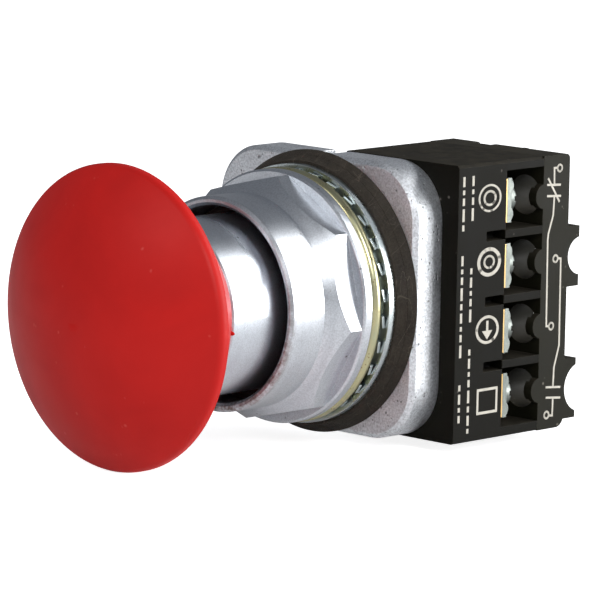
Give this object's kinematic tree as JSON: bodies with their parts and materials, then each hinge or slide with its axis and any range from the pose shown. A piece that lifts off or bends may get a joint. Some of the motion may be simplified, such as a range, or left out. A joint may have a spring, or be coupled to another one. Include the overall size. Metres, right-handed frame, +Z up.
{
  "type": "emergency stop push button",
  "caption": "Panel-mounted emergency stop: red mushroom head on a push-pull plunger, ring nut, washers, gasket, square die-cast plate and a screw-terminal contact block.",
  "frame": {"origin": "on the push axis, at the front face of the square plate, where the panel's rear face or its gasket sits", "axes": "+Y along the push direction, from the head towards the contact block; +Z up; +X towards the wire terminals"},
  "size_m": [0.0463, 0.0827, 0.045],
  "materials": {
    "red_plastic": "satin red",
    "satin_chrome": "satin chrome",
    "nut_metal": "satin, lightly scratched",
    "cast_zinc": "bright as-cast, fine speckle",
    "yellow_chromate": "yellow chromate",
    "zinc_steel": "bright zinc",
    "spring_steel": "bright drawn",
    "brass": "plain",
    "silver": "satin",
    "black_rubber": "matt",
    "black_plastic": "fine texture",
    "white_plastic": "matt",
    "green_plastic": "matt"
  },
  "bodies": {
    "operator": {"operator_housing": "cast_zinc", "detent_balls": "spring_steel", "garter_spring": "spring_steel", "ring_nut": "nut_metal", "thrust_washer": "yellow_chromate", "tooth_lock_washer": "zinc_steel", "zinc_washer": "zinc_steel", "gasket_front": "black_rubber", "gasket_rear": "black_rubber", "wiper_seal": "black_rubber", "block_housing": "black_plastic", "block_rear_cover": "black_plastic", "block_screws": "zinc_steel", "nc_upper_strip": "brass", "no_upper_strip": "brass", "nc_lower_strip": "brass", "no_lower_strip": "brass", "fixed_contacts": "silver", "terminal_screws": "zinc_steel", "clamp_plates": "zinc_steel", "nc_spring": "spring_steel", "no_spring": "spring_steel"},
    "push_head": {"mushroom_head": "red_plastic", "head_insert": "brass", "plunger_sleeve": "satin_chrome", "plunger_shaft": "zinc_steel", "pusher_plate": "zinc_steel", "retaining_clip": "spring_steel"},
    "nc_carrier": {"nc_plunger": "white_plastic", "nc_bridge": "brass", "nc_contacts": "silver"},
    "no_carrier": {"no_plunger": "green_plastic", "no_bridge": "brass", "no_contacts": "silver", "no_spacer": "white_plastic"}
  },
  "joints": [
    {"name": "head_press", "type": "slide", "parent": "operator", "child": "push_head", "axis": [0, 1, 0], "range_m": [0, 0.0055]},
    {"name": "nc_travel", "type": "slide", "parent": "operator", "child": "nc_carrier", "axis": [0, 1, 0], "range_m": [0, 0.0055], "stiffness_N_per_m": 350, "springref_m": -0.003, "deforming": ["nc_spring"]},
    {"name": "no_travel", "type": "slide", "parent": "operator", "child": "no_carrier", "axis": [0, 1, 0], "range_m": [0, 0.0055], "stiffness_N_per_m": 350, "springref_m": -0.003, "deforming": ["no_spring"]}
  ],
  "couplings": [
    {"joint": "nc_travel", "follows": "head_press", "ratio": 1},
    {"joint": "no_travel", "follows": "head_press", "ratio": 1}
  ]
}
